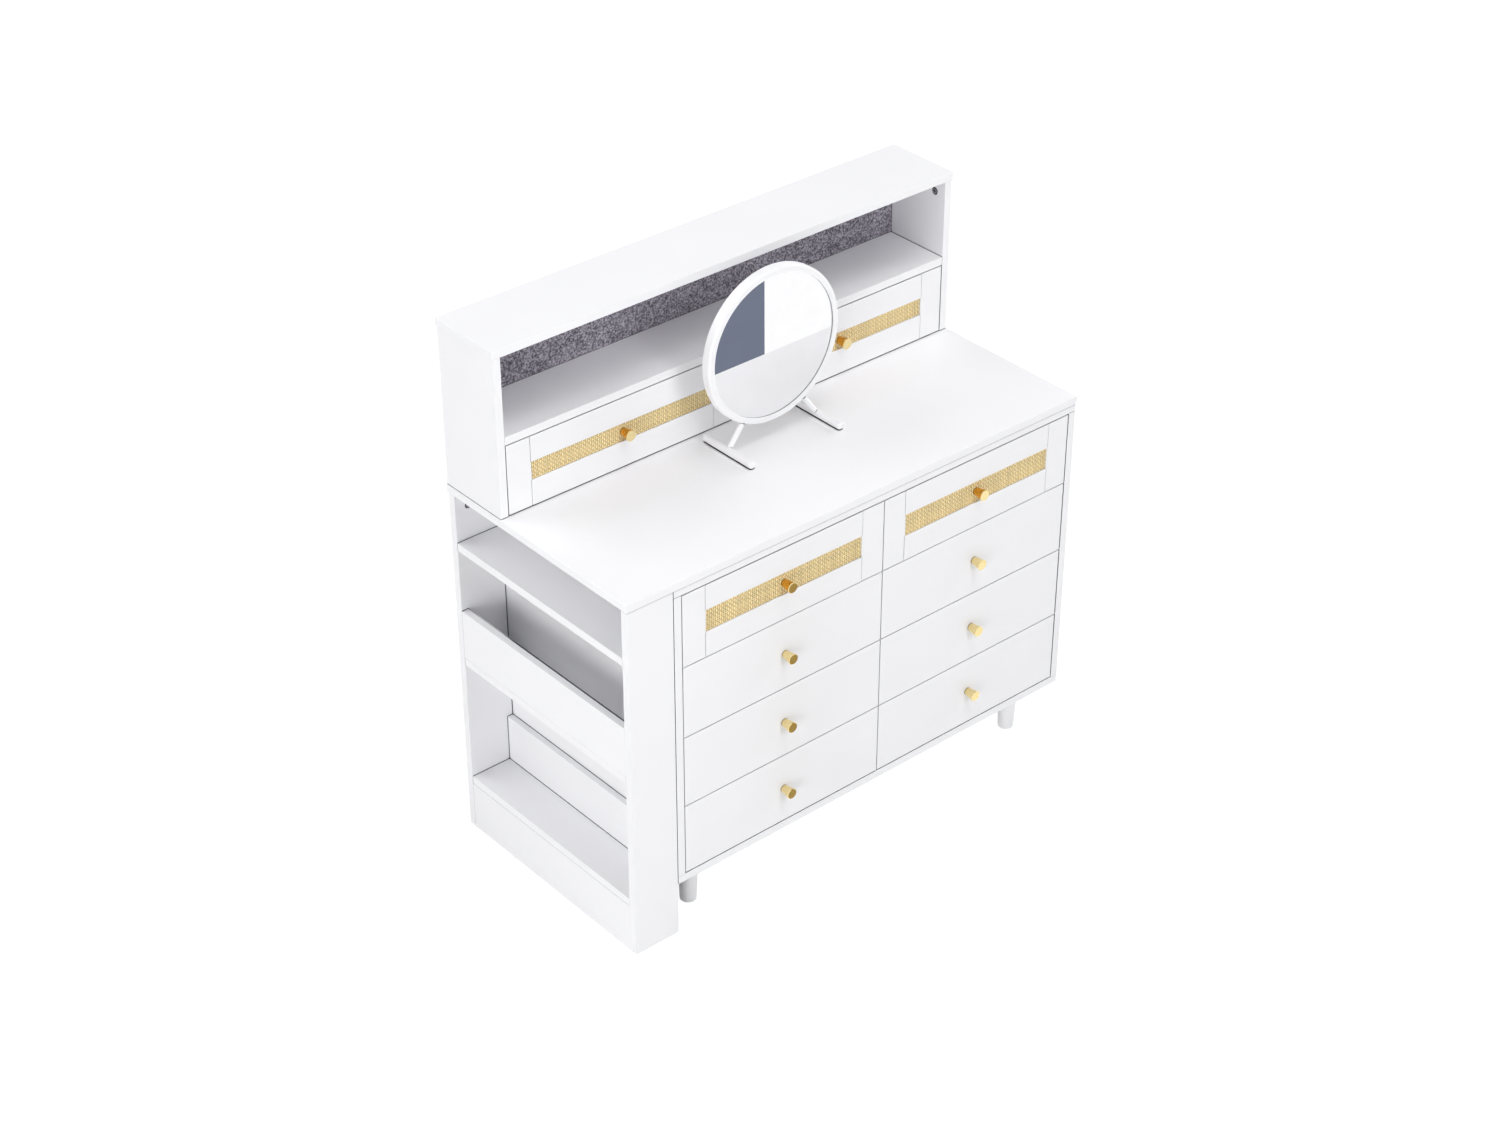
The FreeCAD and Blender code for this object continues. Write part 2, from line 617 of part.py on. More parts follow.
def runners():
    """Strips on the uprights beside each drawer, level with the grooves in the drawer's sides."""
    strips = []
    chest_faces = [("bay_left", 1), ("chest_middle - board / 2", -1),
                   ("chest_middle + board / 2", 1), ("bay_right", -1)]
    for row in range(ROWS):
        z = f"chest_ground + drawer_gap + {row} * chest_row_pitch + runner_rise"
        for face, way in chest_faces:
            strips.append((face, way, "front_rear", "chest_box_depth", z))
    hutch_faces = [("hutch_bay_left", 1), ("-board / 2", -1), ("board / 2", 1), ("hutch_bay_right", -1)]
    for face, way in hutch_faces:
        z = "table_height + drawer_gap + runner_rise"
        strips.append((face, way, "hutch_front_rear", "hutch_box_depth", z))
    members = []
    for index, (face, way, start, depth, z) in enumerate(strips, 1):
        x = (face, f"{face} + runner_reach") if way > 0 else (f"{face} - runner_reach", face)
        members.append(block(f"runner_{index}", x, (f"{start} + runner_setback", f"{start} + {depth}"),
                             (z, f"{z} + runner_height")))
    node(group("drawer_runners", members))


# Mirror: a turned ring with glass and back in a rebate, on two feet joined to it by leaning legs.
def mirror():
    ring = turned("mirror_ring", "XY_Plane", [
        ("mirror_sight_radius", "0"), ("mirror_radius", "0"), ("mirror_radius", "mirror_depth"),
        ("mirror_rebate_radius", "mirror_depth"), ("mirror_rebate_radius", "mirror_lip"),
        ("mirror_sight_radius", "mirror_lip")])
    round_rims(ring, "mirror_edge_round", (sizes.mirror_radius, 0), (sizes.mirror_radius, sizes.mirror_depth))
    at = ("mirror_offset", "mirror_front", "mirror_rise")
    node(group("mirror_frame", [ring], *at))
    along_y = FreeCAD.Rotation(Z_AXIS, Y_AXIS)
    node(rod("mirror_glass", "mirror_fit_radius", "glass_thickness", "mirror_offset",
             "mirror_front + mirror_lip", "mirror_rise", along_y))
    node(rod("mirror_back", "mirror_fit_radius", "mirror_back_thickness", "mirror_offset",
             "mirror_front + mirror_back_face", "mirror_rise", along_y))
    disc = rod("mirror_disc", "mirror_radius", "mirror_depth", *at, along_y)
    foot = turned("stand_foot", "XY_Plane", [
        ("0", "0"), ("stand_foot_radius", "0"), ("stand_foot_radius", "stand_foot_length"),
        ("0", "stand_foot_length")])
    length = sizes.stand_foot_front + sizes.stand_foot_back
    round_rims(foot, "stand_foot_round", (sizes.stand_foot_radius, 0), (sizes.stand_foot_radius, length))
    halves = []
    for side, x, axis in (("left", "mirror_left_foot", Y_AXIS), ("right", "mirror_right_foot", -Y_AXIS)):
        bar = group(f"stand_{side}_bar", [foot], x, "stand_foot_start", "stand_foot_level")
        leg = rod(f"stand_{side}_leg", "stand_leg_radius", "mirror_rise - stand_foot_level", x,
                  "stand_leg_place", "stand_foot_level", FreeCAD.Rotation(axis, sizes.stand_leg_lean))
        leg.setExpression("Placement.Rotation.Angle", term("stand_leg_lean"))
        weld = doc.addObject("Part::Fuse", f"stand_{side}_weld")
        weld.Base = bar
        weld.Tool = leg
        halves.append(cut(f"stand_{side}", weld, [disc]))
    node(group("mirror_stand", halves))


chest()
legs()
side_unit()
hutch()
drawers()
runners()
mirror()
node(group("cam_locks", cams))
doc.recompute()

for item in doc.Objects:
    if "Invalid" in item.State or "Error" in item.State:
        raise RuntimeError(f"{item.Label} did not compute")
for item in nodes:
    if item.Shape.isNull() or not item.Shape.isValid():
        raise RuntimeError(f"{item.Label} has no sound shape")

os.makedirs("parts", exist_ok=True)
for item in nodes:
    item.Shape.exportStep(f"parts/{item.Label}.step")
print(len(nodes), "nodes,", sum(len(item.Shape.Solids) for item in nodes), "solids")
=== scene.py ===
"""Looks of the dressing table: white boards, woven rattan, felt lining, brass knobs and a mirror.

Metres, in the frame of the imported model: +Z up, +X to the right, the drawers face -Y.
"""

import json
import math
import random

import bpy
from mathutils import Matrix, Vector, noise


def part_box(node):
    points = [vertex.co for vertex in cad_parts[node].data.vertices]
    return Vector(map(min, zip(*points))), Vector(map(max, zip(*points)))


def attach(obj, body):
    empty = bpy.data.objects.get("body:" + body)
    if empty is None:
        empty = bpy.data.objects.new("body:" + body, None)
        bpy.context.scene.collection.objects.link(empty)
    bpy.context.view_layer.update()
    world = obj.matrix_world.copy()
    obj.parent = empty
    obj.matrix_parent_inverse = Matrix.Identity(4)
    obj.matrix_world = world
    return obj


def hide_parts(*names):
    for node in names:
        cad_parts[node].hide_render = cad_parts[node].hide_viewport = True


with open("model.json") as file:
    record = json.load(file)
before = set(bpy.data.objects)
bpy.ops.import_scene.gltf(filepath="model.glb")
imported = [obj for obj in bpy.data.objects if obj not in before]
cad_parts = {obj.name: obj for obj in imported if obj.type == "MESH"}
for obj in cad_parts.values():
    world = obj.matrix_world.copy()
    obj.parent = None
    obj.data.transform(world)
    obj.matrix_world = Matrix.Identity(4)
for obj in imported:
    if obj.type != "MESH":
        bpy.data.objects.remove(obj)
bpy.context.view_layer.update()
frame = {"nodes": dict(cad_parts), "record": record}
nodes = frame["nodes"]
body_of_node = {node: body for body, members in frame["record"]["behaviour"]["bodies"].items()
                for node in members}
MM = 0.001

# Colours; a pair is the dark and the pale tone of one material
WHITE = (0.885, 0.885, 0.905)
DRAWER_WHITE = (0.84, 0.84, 0.85)
MIRROR_BACK_WHITE = (0.80, 0.80, 0.81)
RUNNER_WHITE = (0.75, 0.75, 0.76)
# Black of the painted shade line along the guard's inner top edge
SHADE_LINE_BLACK = (0.012, 0.012, 0.014)
BRASS = ((0.86, 0.69, 0.33), (0.94, 0.79, 0.43))
# Knobs: the plain flank tint, nearly white; the rattan fronts' flank, a painted reflection of the rattan;
# the foot, painted shade where a knob meets its board
KNOB_FLANK = (0.97, 0.96, 0.93)
PAINTED_RATTAN_REFLECTION = (0.92, 0.62, 0.25)
PAINTED_SHADE_FOOT = (0.34, 0.25, 0.13)
ZINC = ((0.55, 0.55, 0.57), (0.72, 0.72, 0.74))
SILVER = ((0.885, 0.885, 0.895), (0.905, 0.905, 0.915))
# One cane in two tints: painted shade on the across strands, painted light on the upright strands
SHADED_WEFT_CANE = (0.82, 0.61, 0.285)
LIT_WARP_CANE = (1.0, 0.85, 0.49)
# Backing behind the weave: a near-black brown, painted shade seen through the holes
PAINTED_SHADE_BACKING = ((0.06, 0.034, 0.010), (0.11, 0.066, 0.020))
FELT = ((0.08, 0.075, 0.089), (0.55, 0.513, 0.60))
MIRROR_CARD = (0.19, 0.215, 0.285)
KNOB_CARD = (0.40, 0.32, 0.17)


# Node trees: the mix node's sockets for a share and for colours, whose names it uses more than once
MIX_SHARE = 0
MIX_FIRST = 6
MIX_SECOND = 7
MIX_COLOUR = 2
# Values of a noise field at which its dark tone ends and its pale tone starts
MOTTLE_DARK = 0.3
MOTTLE_PALE = 0.7


def add(tree, kind, inputs=None, **settings):
    """A shader node; each of its inputs is a number, a colour or another node's output."""
    item = tree.nodes.new(kind)
    for name, value in settings.items():
        setattr(item, name, value)
    for key, value in (inputs or {}).items():
        if isinstance(value, bpy.types.NodeSocket):
            tree.links.new(value, item.inputs[key])
        else:
            item.inputs[key].default_value = value
    return item


def start_material(name, **constants):
    """A material with its main shader, whose named sockets are set to constants."""
    material = bpy.data.materials.new(name)
    material.use_nodes = True
    shader = material.node_tree.nodes["Principled BSDF"]
    for socket, value in constants.items():
        shader.inputs[socket.replace("_", " ")].default_value = value
    return material, material.node_tree, shader


def emptied_tree(owner):
    """The node tree of a material or a world, without its first nodes."""
    owner.use_nodes = True
    owner.node_tree.nodes.clear()
    return owner.node_tree


def connect(tree, shader, colour, roughness):
    """Give the main shader its colour and its roughness."""
    tree.links.new(colour, shader.inputs["Base Color"])
    tree.links.new(roughness, shader.inputs["Roughness"])


def raise_surface(tree, shader, height, distance, strength=1.0):
    """Give the main shader a fine relief."""
    bump = add(tree, "ShaderNodeBump", {"Height": height, "Distance": distance, "Strength": strength})
    tree.links.new(bump.outputs["Normal"], shader.inputs["Normal"])


def grey(level):
    return (level, level, level)


def scaled(colour, share):
    return tuple(part * share for part in colour)


def place_coordinates(tree, stretch=(1, 1, 1)):
    """Positions in metres on the piece, stretched along each axis."""
    position = add(tree, "ShaderNodeTexCoord").outputs["Object"]
    return add(tree, "ShaderNodeMapping", {"Vector": position, "Scale": stretch}).outputs["Vector"]


def box_coordinates(tree):
    """Positions in the piece's own box, from 0 to 1 along each axis."""
    return add(tree, "ShaderNodeTexCoord").outputs["Generated"]


def split(tree, vector):
    return add(tree, "ShaderNodeSeparateXYZ", {"Vector": vector}).outputs


def noise_field(tree, position, scale, detail=2.0, roughness=0.5):
    field = add(tree, "ShaderNodeTexNoise", {
        "Vector": position, "Scale": scale, "Detail": detail, "Roughness": roughness})
    return field.outputs["Fac"]


def ramp(tree, value, *stops):
    """Colours along a value; each stop is a place and an RGB colour."""
    item = add(tree, "ShaderNodeValToRGB", {"Fac": value})
    elements = item.color_ramp.elements
    while len(elements) < len(stops):
        elements.new(0.5)
    for element, (place, colour) in zip(elements, stops):
        element.position = place
        element.color = (*colour, 1)
    return item.outputs["Color"]


def mottle(tree, field, dark, pale):
    """A colour that wavers between two tones with a noise field."""
    return ramp(tree, field, (MOTTLE_DARK, dark), (MOTTLE_PALE, pale))


def spread(tree, value, low, high):
    """A 0 to 1 value spread over a range."""
    item = add(tree, "ShaderNodeMapRange", {"Value": value, "To Min": low, "To Max": high})
    return item.outputs["Result"]


def combine(tree, operation, first, second):
    """The number that an operation makes of two numbers."""
    return add(tree, "ShaderNodeMath", {0: first, 1: second}, operation=operation).outputs["Value"]


def combine_vectors(tree, operation, *vectors):
    """The vector that an operation makes of one vector or two."""
    item = add(tree, "ShaderNodeVectorMath", dict(enumerate(vectors)), operation=operation)
    return item.outputs["Vector"]


def blend_values(tree, first, second, share):
    mixed = add(tree, "ShaderNodeMix", {"Factor": share, "A": first, "B": second})
    return mixed.outputs["Result"]


def blend_colours(tree, first, second, share, how="MIX"):
    mixed = add(tree, "ShaderNodeMix", {MIX_SHARE: share, MIX_FIRST: first, MIX_SECOND: second},
                data_type="RGBA", blend_type=how)
    return mixed.outputs[MIX_COLOUR]


def multiply(tree, first, second):
    """The product of two colours."""
    return blend_colours(tree, first, second, 1.0, how="MULTIPLY")


# Painted shade in the joints between boards, and the rays that find how open a place is
JOINT_SAMPLES = 10
# Reach of a joint's painted shade, how open a place is where the shade is full and where it ends, and its
# level
JOINT_SHADE_STEPS = ((3.4 * MM, 0.56, 0.74, 0.09), (1.3 * MM, 0.62, 0.92, 0.09))
FRONT_SHADE_STEPS = ((3.4 * MM, 0.56, 0.74, 0.72),)
# Under the table top's small overhang the painted shade reaches further
LEDGE_SHADE_STEPS = ((4.5 * MM, 0.80, 0.95, 0.3),)
# The guard's painted shade line, in shares of the guard's box: where it starts across and up, where it
# turns fainter along the guard, and how strong it is from there on
LINE_ACROSS = (0.79, 0.81)
LINE_UP = (0.975, 0.985)
LINE_FADE = (0.7, 0.8)
LINE_FAINT = 0.45


def paint_joint_shade(tree, colour, steps=JOINT_SHADE_STEPS):
    """A colour with painted shade where another surface is close, in the corners and gaps between boards.
    """
    for reach, shut, clear, level in steps:
        near = add(tree, "ShaderNodeAmbientOcclusion", {"Distance": reach}, samples=JOINT_SAMPLES)
        share = ramp(tree, near.outputs["AO"], (shut, grey(level)), (clear, grey(1)))
        colour = multiply(tree, colour, share)
    return colour


def painted_shade_line(tree, colour):
    """A colour with a dark painted shade line along a board's inner top edge, fainter towards its back
    end.
    """
    place = split(tree, box_coordinates(tree))
    inner = ramp(tree, place["X"], *zip(LINE_ACROSS, (grey(0), grey(1))))
    upper = ramp(tree, place["Z"], *zip(LINE_UP, (grey(0), grey(1))))
    length = ramp(tree, place["Y"], *zip(LINE_FADE, (grey(1), grey(LINE_FAINT))))
    share = multiply(tree, multiply(tree, inner, upper), length)
    return blend_colours(tree, colour, (*SHADE_LINE_BLACK, 1), share)


# Materials
# Lacquer: its darker tone as a share of its colour, and how far its roughness strays to both sides
DRIFT_SHADE = 0.985
GLOSS_BELOW = 0.05
GLOSS_ABOVE = 0.06
# Knobs: their length without the screw, and their axis in their own box
KNOB_LENGTH = 22 * MM
KNOB_AXIS = (0.5, 0, 0.5)
# Along a knob with its screw: the end of its face and the start of its flank, from the face, and the end
# of its flank and the start of its foot, before the seat
KNOB_FACE = (0.02, 0.06)
KNOB_SEAT = (0.05, 0.02)
# Values of the tarnish at the dark and the pale tone
TARNISH_STOPS = (0.25, 0.75)
# Lean of the mirror glass in radians
GLASS_LEAN = 0.019
# Darkest and palest cane as shares of its colour, and the part that each strand's own tone has in it
CANE_TONES = (0.8, 1.08)
CANE_TONE_SHARE = 0.3
# Felt: the parts that heather and clouds have in its pattern, the places of its dark, middle and pale
# tone, and the divisor that sets the middle tone below the mean of the other two
HEATHER_SHARE = 0.2
CLOUD_SHARE = 0.12
FELT_STOPS = (0.36, 0.5, 0.66)
FELT_MIDDLE = 2.6
# Plastic: its darker tone as a share of its colour, and how far its roughness strays
PLASTIC_SHADE = 0.9
PLASTIC_GLOSS = 0.08


def lacquer(name, colour, roughness, peel=0.006 * MM, peel_scale=420, joints=JOINT_SHADE_STEPS, line=None):
    """Sprayed or foil-wrapped white: a slow drift in tone, an uneven gloss and a fine orange peel, with
    painted shade in its corners and gaps and, where given, a painted shade line.
    """
    material, tree, shader = start_material(name, Specular_IOR_Level=0.5)
    position = place_coordinates(tree)
    drift = noise_field(tree, position, scale=7)
    shaded = paint_joint_shade(tree, mottle(tree, drift, scaled(colour, DRIFT_SHADE), colour), joints)
    if line:
        shaded = line(tree, shaded)
    smears = noise_field(tree, position, scale=55, detail=4)
    gloss = spread(tree, smears, roughness - GLOSS_BELOW, roughness + GLOSS_ABOVE)
    connect(tree, shader, shaded, gloss)
    raise_surface(tree, shader, noise_field(tree, position, peel_scale, detail=3), peel)
    return material


def brass(name, flank, seat):
    """Turned brass: fine rings round each knob's axis, tarnish, a flank tint that is a painted reflection
    on the rattan fronts' knobs, and a foot of painted shade.
    """
    material, tree, shader = start_material(name, Metallic=1.0)
    spot = box_coordinates(tree)
    offset = combine_vectors(tree, "SUBTRACT", spot, KNOB_AXIS)
    flat = combine_vectors(tree, "MULTIPLY", offset, (1, 0, 1))
    radius = add(tree, "ShaderNodeVectorMath", {0: flat}, operation="LENGTH").outputs["Value"]
    along = split(tree, spot)["Y"]
    turn = combine(tree, "ADD", radius, along)
    marks = add(tree, "ShaderNodeTexNoise", {"W": turn, "Scale": 90, "Detail": 3},
                noise_dimensions="1D").outputs["Fac"]
    tarnish = noise_field(tree, place_coordinates(tree), scale=260, detail=3)
    face_end, flank_start = KNOB_FACE
    flank_end, foot_start = (seat - share for share in KNOB_SEAT)
    # The tint paints the rattan's reflection on some flanks and paints shade on every knob's foot
    tint = ramp(tree, along, (face_end, grey(1)), (flank_start, flank), (flank_end, flank),
                (foot_start, PAINTED_SHADE_FOOT))
    metal = ramp(tree, tarnish, *zip(TARNISH_STOPS, BRASS))
    connect(tree, shader, multiply(tree, metal, tint), spread(tree, marks, low=0.06, high=0.16))
    raise_surface(tree, shader, marks, distance=0.02 * MM, strength=0.5)
    return material


def zinc(name):
    """Die-cast zinc alloy, dull with slight pitting, and painted shade in its recess and where other
    surfaces are close.
    """
    material, tree, shader = start_material(name, Metallic=1.0)
    grain = noise_field(tree, place_coordinates(tree), scale=900, detail=4)
    pitted_and_shaded = paint_joint_shade(tree, mottle(tree, grain, *ZINC))
    connect(tree, shader, pitted_and_shaded, spread(tree, grain, low=0.35, high=0.6))
    raise_surface(tree, shader, grain, distance=0.03 * MM)
    return material


def silvering(name):
    """Mirror glass with a trace of haze, leaning back by about a degree in its rebate."""
    material, tree, shader = start_material(name, Metallic=1.0)
    haze = noise_field(tree, place_coordinates(tree), scale=30, detail=3)
    connect(tree, shader, mottle(tree, haze, *SILVER), spread(tree, haze, low=0.0, high=0.02))
    upright = add(tree, "ShaderNodeNewGeometry").outputs["Normal"]
    leaning = combine_vectors(tree, "ADD", upright, (0, 0, GLASS_LEAN))
    tree.links.new(combine_vectors(tree, "NORMALIZE", leaning), shader.inputs["Normal"])
    return material


def rattan(name, stretch, tint):
    """Split cane: fibres along the strand, a tone of its own for each strand and a waxy gloss."""
    material, tree, shader = start_material(name, Specular_IOR_Level=0.4)
    fibres = noise_field(tree, place_coordinates(tree, stretch), scale=1, detail=3, roughness=0.6)
    tone = add(tree, "ShaderNodeAttribute", attribute_name="tone").outputs["Fac"]
    mixed = blend_values(tree, fibres, tone, CANE_TONE_SHARE)
    dark, pale = [scaled(tint, share) for share in CANE_TONES]
    connect(tree, shader, mottle(tree, mixed, dark, pale), spread(tree, fibres, low=0.38, high=0.62))
    raise_surface(tree, shader, fibres, distance=0.05 * MM)
    return material


def shaded_backing(name):
    """A thin backing cloth behind the weave, seen through its holes; its near-black brown is painted
    shade.
    """
    material, tree, shader = start_material(name, Specular_IOR_Level=0.2)
    weave = noise_field(tree, place_coordinates(tree), scale=1500, detail=2)
    connect(tree, shader, mottle(tree, weave, *PAINTED_SHADE_BACKING), spread(tree, weave, low=0.8, high=0.95))
    raise_surface(tree, shader, weave, distance=0.05 * MM)
    return material


def felt(name, dark, pale):
    """Pressed felt of mixed grey fibres: flecks a few millimetres wide over a finer heather."""
    material, tree, shader = start_material(
        name, Specular_IOR_Level=0.15, Sheen_Weight=0.25, Sheen_Roughness=0.5)
    position = place_coordinates(tree)
    flecks = noise_field(tree, position, scale=300, detail=1, roughness=0.6)
    fibres = place_coordinates(tree, stretch=(700, 700, 1400))
    heather = noise_field(tree, fibres, scale=1, detail=3, roughness=0.7)
    clouds = noise_field(tree, position, scale=45)
    mixed = blend_values(tree, blend_values(tree, flecks, heather, HEATHER_SHARE), clouds, CLOUD_SHARE)
    middle = tuple((first + second) / FELT_MIDDLE for first, second in zip(dark, pale))
    colour = ramp(tree, mixed, *zip(FELT_STOPS, (dark, middle, pale)))
    connect(tree, shader, colour, spread(tree, heather, low=0.85, high=1.0))
    raise_surface(tree, shader, heather, distance=0.25 * MM)
    return material


def speckled_plastic(name, colour, roughness):
    """Moulded plastic with a fine spark-eroded texture."""
    material, tree, shader = start_material(name)
    grain = noise_field(tree, place_coordinates(tree), scale=1300, detail=2)
    speckled = mottle(tree, grain, scaled(colour, PLASTIC_SHADE), colour)
    gloss = spread(tree, grain, roughness - PLASTIC_GLOSS, roughness + PLASTIC_GLOSS)
    connect(tree, shader, speckled, gloss)
    raise_surface(tree, shader, grain, distance=0.02 * MM)
    return material


def seat_share(node):
    """How far along a knob with its screw the knob's seat lies."""
    low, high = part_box(node)
    return KNOB_LENGTH / (high.y - low.y)


# Finishes of the CAD's pieces by material slot
slot_finish = {
    "white_board": lacquer("white_board_finish", WHITE, roughness=0.42),
    "white_front": lacquer("white_front_finish", WHITE, roughness=0.40, joints=FRONT_SHADE_STEPS),
    "leg": lacquer("leg_finish", WHITE, roughness=0.38, peel=0.01 * MM, peel_scale=300),
    "drawer_board": lacquer("drawer_board_finish", DRAWER_WHITE, roughness=0.5),
    "mirror_frame": lacquer("mirror_frame_finish", WHITE, roughness=0.36, peel=0.012 * MM, peel_scale=900),
    "mirror_back": lacquer("mirror_back_finish", MIRROR_BACK_WHITE, roughness=0.55, peel=0.02 * MM,
                           peel_scale=700),
    "runner": speckled_plastic("runner_finish", RUNNER_WHITE, roughness=0.5),
    "knob": brass("knob_finish", KNOB_FLANK, seat_share("drawer_left_2_knob")),
    "cam_lock": zinc("cam_lock_finish"),
    "mirror_glass": silvering("mirror_glass_finish"),
}

# Single pieces that differ from their slot: boards under the table top's overhang, with deeper painted
# shade, the side unit's guard, with a painted shade line, and the knobs on the rattan fronts, with a
# painted reflection
ledge_shade_finish = lacquer("under_ledge_painted_shade_finish", WHITE, roughness=0.42, joints=LEDGE_SHADE_STEPS)
rattan_reflection_knob_finish = brass("painted_reflection_knob_finish", PAINTED_RATTAN_REFLECTION, seat_share("drawer_left_1_knob"))
node_finish = {node: ledge_shade_finish for node in ("chest_top_panel", "side_unit_front_board")}
node_finish["side_unit_guard"] = lacquer("guard_shade_line_finish", WHITE, roughness=0.42, line=painted_shade_line)
for node in nodes:
    if node.endswith("_rattan"):
        node_finish[node.replace("_rattan", "_knob")] = rattan_reflection_knob_finish

# Rounding of the boards' edges by slot
EDGE_ROUND = {
    "white_board": 1.0 * MM,
    "white_front": 1.0 * MM,
    "drawer_board": 0.4 * MM,
    "runner": 0.4 * MM,
}
EDGE_SEGMENTS = 2
SHARP_ANGLE = math.radians(50)
WELD_REACH = 0.01 * MM


def soften_edges(item, width):
    """Round a board's edges a little, as its edge band does."""
    weld = item.modifiers.new("weld", "WELD")
    weld.merge_threshold = WELD_REACH
    bevel = item.modifiers.new("edge_round", "BEVEL")
    bevel.width = width
    bevel.segments = EDGE_SEGMENTS
    bevel.limit_method = "ANGLE"
    bevel.angle_limit = SHARP_ANGLE


def finish_nodes():
    for node, item in nodes.items():
        slot = item.data.materials[0].name
        if node in node_finish:
            item.material_slots[0].material = node_finish[node]
        elif slot in slot_finish:
            item.material_slots[0].material = slot_finish[slot]
        if slot in EDGE_ROUND:
            soften_edges(item, EDGE_ROUND[slot])


finish_nodes()


def place_in_scene(name, data):
    """A new object for a mesh, a lamp or a camera."""
    item = bpy.data.objects.new(name, data)
    bpy.context.scene.collection.objects.link(item)
    return item


# Woven rattan in the four framed fronts
CANE_PITCH = 4.1 * MM
CANE_WIDTH = 3.0 * MM
CANE_THICKNESS = 0.62 * MM
CANE_BACKING = 0.12 * MM
# Each strand's own width, as a share of the width, and its sway, as a share of the pitch
CANE_WIDTHS = (0.93, 1.04)
CANE_SWAY = 0.05
SECTION_SIDES = 6
RINGS_PER_PITCH = 2
WEAVE_SEED = 11
# Fibre frequency along a strand, through it and across it
FIBRE_ALONG = 120
FIBRE_THROUGH = 1500
FIBRE_ACROSS = 2200

WEFT, WARP, BACKING = range(3)
# The across strands get painted shade and the upright strands painted light
weave_finish = [
    rattan("rattan_across_painted_shade", (FIBRE_ALONG, FIBRE_THROUGH, FIBRE_ACROSS), SHADED_WEFT_CANE),
    rattan("rattan_upright_painted_light", (FIBRE_ACROSS, FIBRE_THROUGH, FIBRE_ALONG), LIT_WARP_CANE),
    shaded_backing("rattan_backing_painted_shade"),
]


class MeshParts:
    """Vertices, faces and per-vertex tones gathered for one mesh."""

    def __init__(self):
        self.points = []
        self.faces = []
        self.materials = []
        self.tones = []

    def tube(self, rings, tone, material):
        """A closed tube through rings of points."""
        start = len(self.points)
        sides = len(rings[0])
        for ring in rings:
            self.points.extend(ring)
            self.tones.extend([tone] * sides)
        new_faces = [tuple(range(start, start + sides))[::-1]]
        for level in range(len(rings) - 1):
            low = start + level * sides
            for side in range(sides):
                after = (side + 1) % sides
                new_faces.append((low + side, low + after, low + sides + after, low + sides + side))
        last = start + (len(rings) - 1) * sides
        new_faces.append(tuple(range(last, last + sides)))
        self.faces.extend(new_faces)
        self.materials.extend([material] * len(new_faces))

    def make(self, name, materials):
        """The object that holds everything gathered."""
        mesh = bpy.data.meshes.new(name)
        mesh.from_pydata(self.points, [], self.faces)
        for material in materials:
            mesh.materials.append(material)
        mesh.polygons.foreach_set("material_index", self.materials)
        mesh.polygons.foreach_set("use_smooth", [True] * len(self.faces))
        tones = mesh.attributes.new("tone", "FLOAT", "POINT")
        tones.data.foreach_set("value", self.tones)
        mesh.update()
        return place_in_scene(name, mesh)


def cane_section(width, thickness):
    """A flat oval: offsets across the strand and towards the front."""
    turns = [2 * math.pi * side / SECTION_SIDES for side in range(SECTION_SIDES)]
    return [(width / 2 * math.cos(turn), thickness / 2 * math.sin(turn)) for turn in turns]


def weave_panel(node, draw):
    """Plain-woven cane in place of a flat rattan sheet, on a thin backing."""
    low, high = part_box(node)
    wave = (high.y - low.y - CANE_BACKING - CANE_THICKNESS) / 2
    middle = low.y + CANE_THICKNESS / 2 + wave
    columns = int((high.x - low.x) / CANE_PITCH)
    rows = int((high.z - low.z) / CANE_PITCH)
    left = (low.x + high.x - (columns - 1) * CANE_PITCH) / 2
    bottom = (low.z + high.z - (rows - 1) * CANE_PITCH) / 2
    parts = MeshParts()

    def strand(count, phase, point):
        """One cane; point gives a vertex from a place along it, one across it and a depth.

        It runs one ring past the first and the last strand that it crosses.
        """
        width = CANE_WIDTH * draw.uniform(*CANE_WIDTHS)
        sway = draw.uniform(-CANE_SWAY, CANE_SWAY) * CANE_PITCH
        rings = []
        for step in range(-1, (count - 1) * RINGS_PER_PITCH + 2):
            along = step / RINGS_PER_PITCH
            depth = middle - wave * math.cos(math.pi * (along + phase))
            rings.append([point(along * CANE_PITCH, across + sway, depth - forward)
                          for across, forward in cane_section(width, CANE_THICKNESS)])
        return rings

    for row in range(rows):
        z = bottom + row * CANE_PITCH
        rings = strand(columns, row, lambda along, across, y: (left + along, y, z + across))
        parts.tube(rings, draw.random(), WEFT)
    for column in range(columns):
        x = left + column * CANE_PITCH
        rings = strand(rows, column + 1, lambda along, across, y: (x - across, y, bottom + along))
        parts.tube(rings, draw.random(), WARP)
    outline = ((low.x, low.z), (high.x, low.z), (high.x, high.z), (low.x, high.z))
    back = [[(x, y, z) for x, z in outline] for y in (high.y, high.y - CANE_BACKING)]
    parts.tube(back, tone=0.5, material=BACKING)
    return parts.make(f"{node}_weave", weave_finish)


def weave_panels():
    draw = random.Random(WEAVE_SEED)
    for node in sorted(nodes):
        if node.endswith("_rattan"):
            panel = weave_panel(node, draw)
            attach(panel, body_of_node[node])
            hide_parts(node)


weave_panels()


# Felt lining of the niche
FELT_GRID = 3 * MM
FELT_INSET = 0.3 * MM
# Height of the uneven face, its mean level as a multiple of that, and the widths of its two waves
FELT_ROUGH = 0.35 * MM
FELT_LIFT = 1.6
FELT_SWELL = 9 * MM
FELT_RIPPLE = 4 * MM
RIPPLE_SHARE = 0.6


def felt_face(x, z):
    """How far the felt's face lies behind the front of its box."""
    swell = noise.noise(Vector((x, z, 0)) / FELT_SWELL)
    ripple = noise.noise(Vector((x, z, 1)) / FELT_RIPPLE)
    return FELT_ROUGH * (FELT_LIFT + (swell + RIPPLE_SHARE * ripple))


